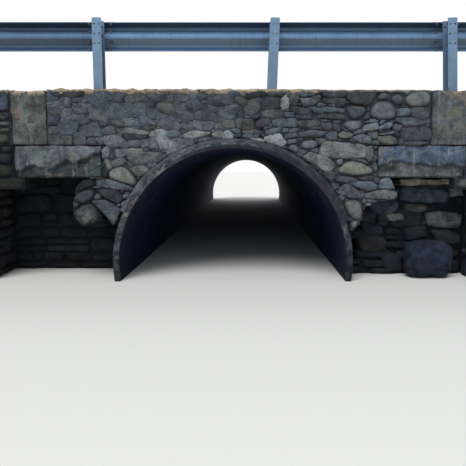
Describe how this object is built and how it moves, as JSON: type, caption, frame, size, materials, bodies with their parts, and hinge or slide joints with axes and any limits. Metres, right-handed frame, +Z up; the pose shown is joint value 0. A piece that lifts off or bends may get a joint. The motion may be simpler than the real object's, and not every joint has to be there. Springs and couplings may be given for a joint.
{
  "type": "culvert headwall",
  "caption": "Mortared fieldstone culvert headwall with dressed granite beams over washed-out recesses, a round pipe barrel leading back from it and a two-wave steel guardrail on posts.",
  "frame": {"origin": "the front face of the wall at the waterline, on the centre line of the pipe mouth", "axes": "+X along the wall to the right as seen from the stream, +Y back into the bank and along the barrel, +Z up"},
  "size_m": [8.42, 14.37, 2.8008],
  "materials": {
    "fieldstone": "rough weathered fieldstone in grey mortar",
    "granite": "split granite, rough face",
    "river_stone": "damp dark river stone",
    "mortar": "rough hand-laid mortar",
    "pipe_wall": "rough, damp, rust and lichen stained",
    "band_steel": "rusted",
    "galvanised_steel": "weathered dull galvanised"
  },
  "bodies": {
    "root": {"barrel_section_1": "pipe_wall", "barrel_section_2": "pipe_wall", "barrel_section_3": "pipe_wall", "barrel_section_4": "pipe_wall", "barrel_section_5": "pipe_wall", "barrel_section_6": "pipe_wall", "joint_band_1": "band_steel", "joint_band_2": "band_steel", "joint_band_3": "band_steel", "joint_band_4": "band_steel", "joint_band_5": "band_steel", "left_abutment": "fieldstone", "left_back_masonry": "fieldstone", "left_beam": "granite", "left_haunch": "fieldstone", "left_outer_parapet": "fieldstone", "left_upright_block": "granite", "mouth_mortar_ring": "mortar", "parapet_masonry": "fieldstone", "post_1": "galvanised_steel", "post_2": "galvanised_steel", "post_3": "galvanised_steel", "post_4": "galvanised_steel", "post_5": "galvanised_steel", "rail_left": "galvanised_steel", "rail_middle": "galvanised_steel", "rail_right": "galvanised_steel", "right_abutment": "fieldstone", "right_back_masonry": "fieldstone", "right_beam": "granite", "right_foot_boulder": "river_stone", "right_haunch": "fieldstone", "right_ledge_stone": "river_stone", "right_outer_parapet": "fieldstone", "right_recess_rubble": "river_stone", "right_upright_block": "granite"}
  },
  "joints": []
}
